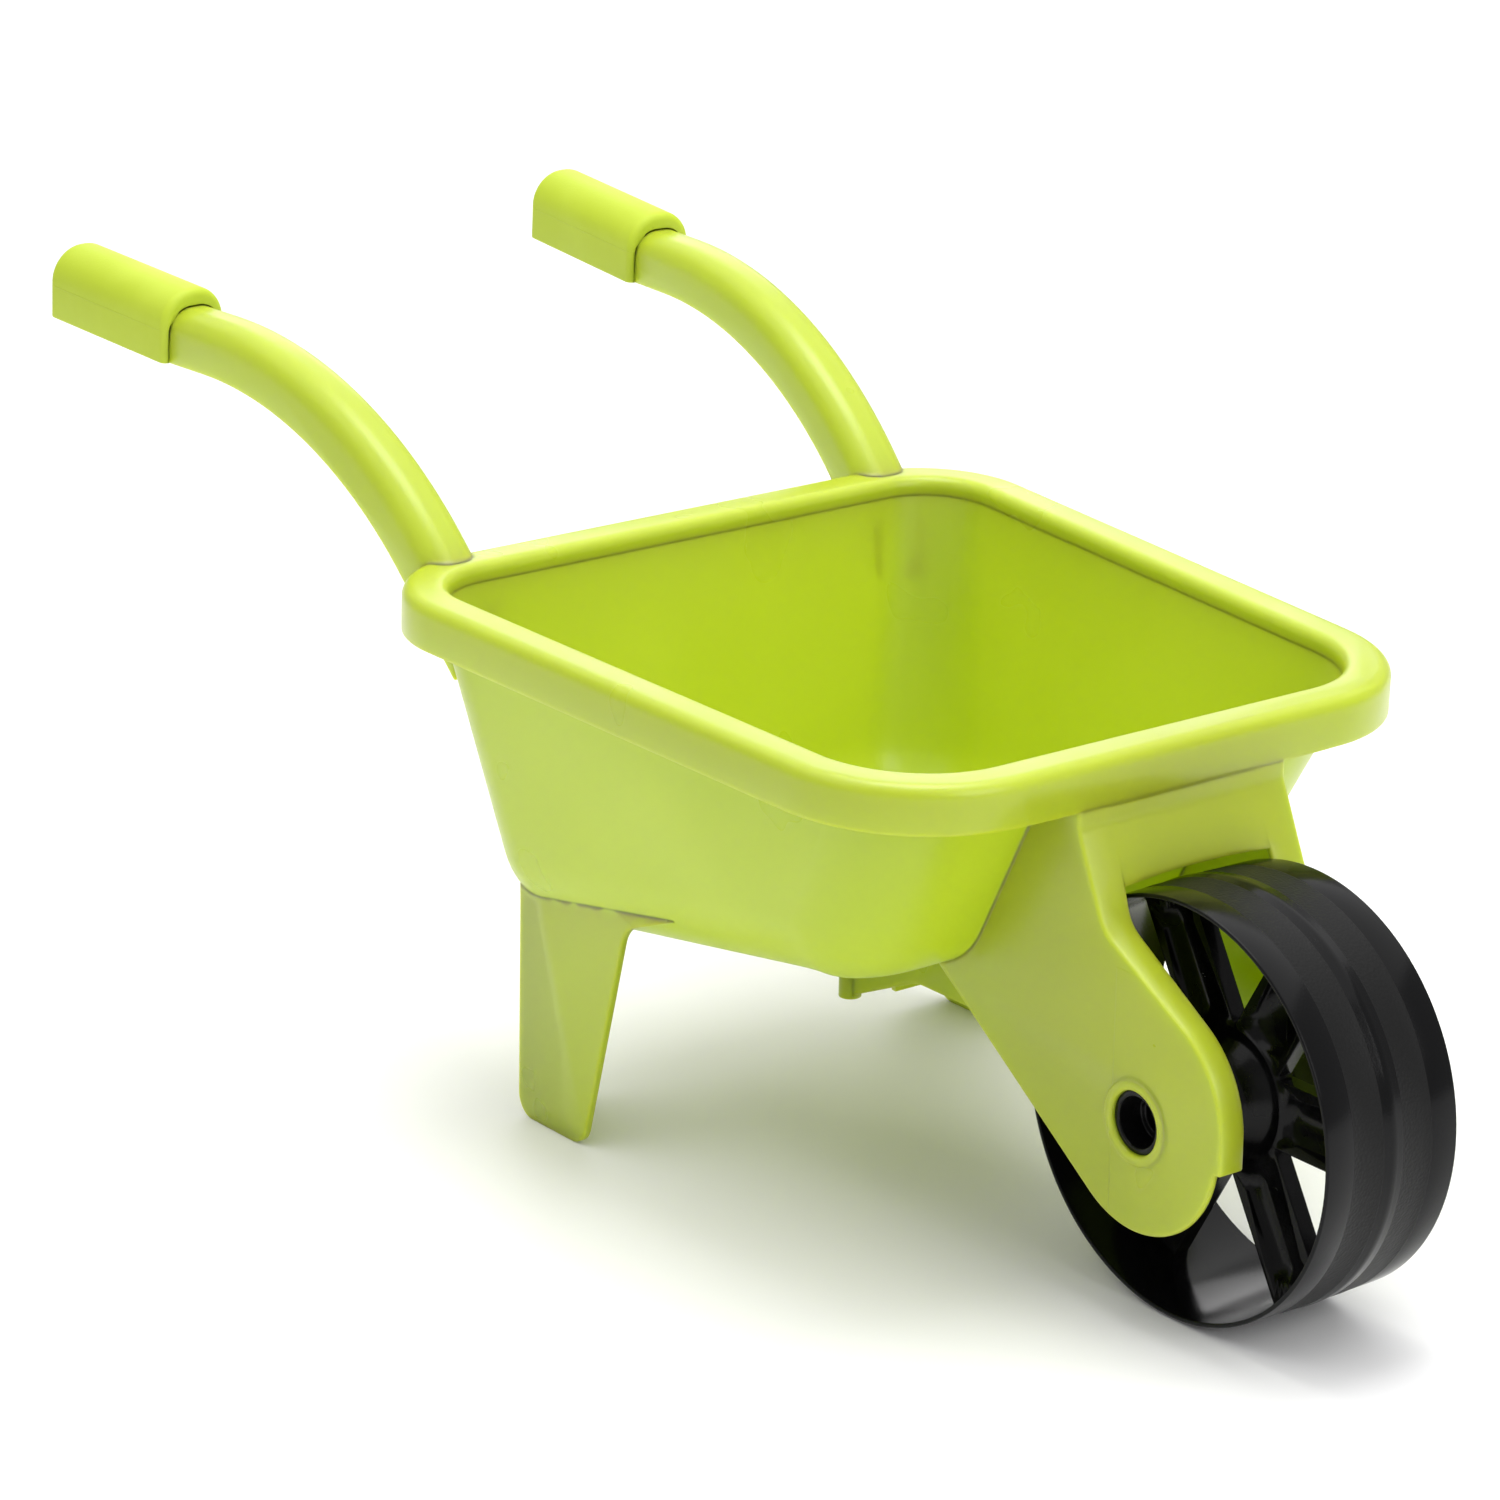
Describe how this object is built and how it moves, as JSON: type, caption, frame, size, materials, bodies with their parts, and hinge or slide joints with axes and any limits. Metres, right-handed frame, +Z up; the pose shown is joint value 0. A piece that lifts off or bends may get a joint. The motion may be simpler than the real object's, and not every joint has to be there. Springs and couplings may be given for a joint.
{
  "type": "toy wheelbarrow",
  "caption": "Child's moulded plastic wheelbarrow: a deep rounded tray with a thick rim, curved handle arms with grips, two legs and a wide spoked wheel turning in a fork.",
  "frame": {"origin": "on the ground, at the centre of the bounding box's bottom face", "axes": "+X forward to the wheel, +Y to the left hand of the person pushing, +Z up"},
  "size_m": [0.6342, 0.2794, 0.2788],
  "materials": {
    "green_plastic": "semi-gloss, translucent at the thin walls",
    "grip_plastic": "matte",
    "black_plastic": "semi-gloss, with two finely textured tread bands"
  },
  "bodies": {
    "barrow": {"tub_shell": "green_plastic", "rim": "green_plastic", "fork_hood": "green_plastic", "fork_cheek_left": "green_plastic", "fork_cheek_right": "green_plastic", "handle_arm_left": "green_plastic", "handle_arm_right": "green_plastic", "grip_left": "grip_plastic", "grip_right": "grip_plastic", "leg_left": "green_plastic", "leg_right": "green_plastic", "keel_rib": "green_plastic"},
    "wheel": {"wheel_band": "black_plastic", "wheel_spider": "black_plastic", "axle_stub_left": "black_plastic", "axle_stub_right": "black_plastic"}
  },
  "joints": [
    {"name": "wheel_spin", "type": "hinge", "parent": "barrow", "child": "wheel", "pos_m": [0.241, 0, 0.0762], "axis": [0, 1, 0], "continuous": true}
  ]
}
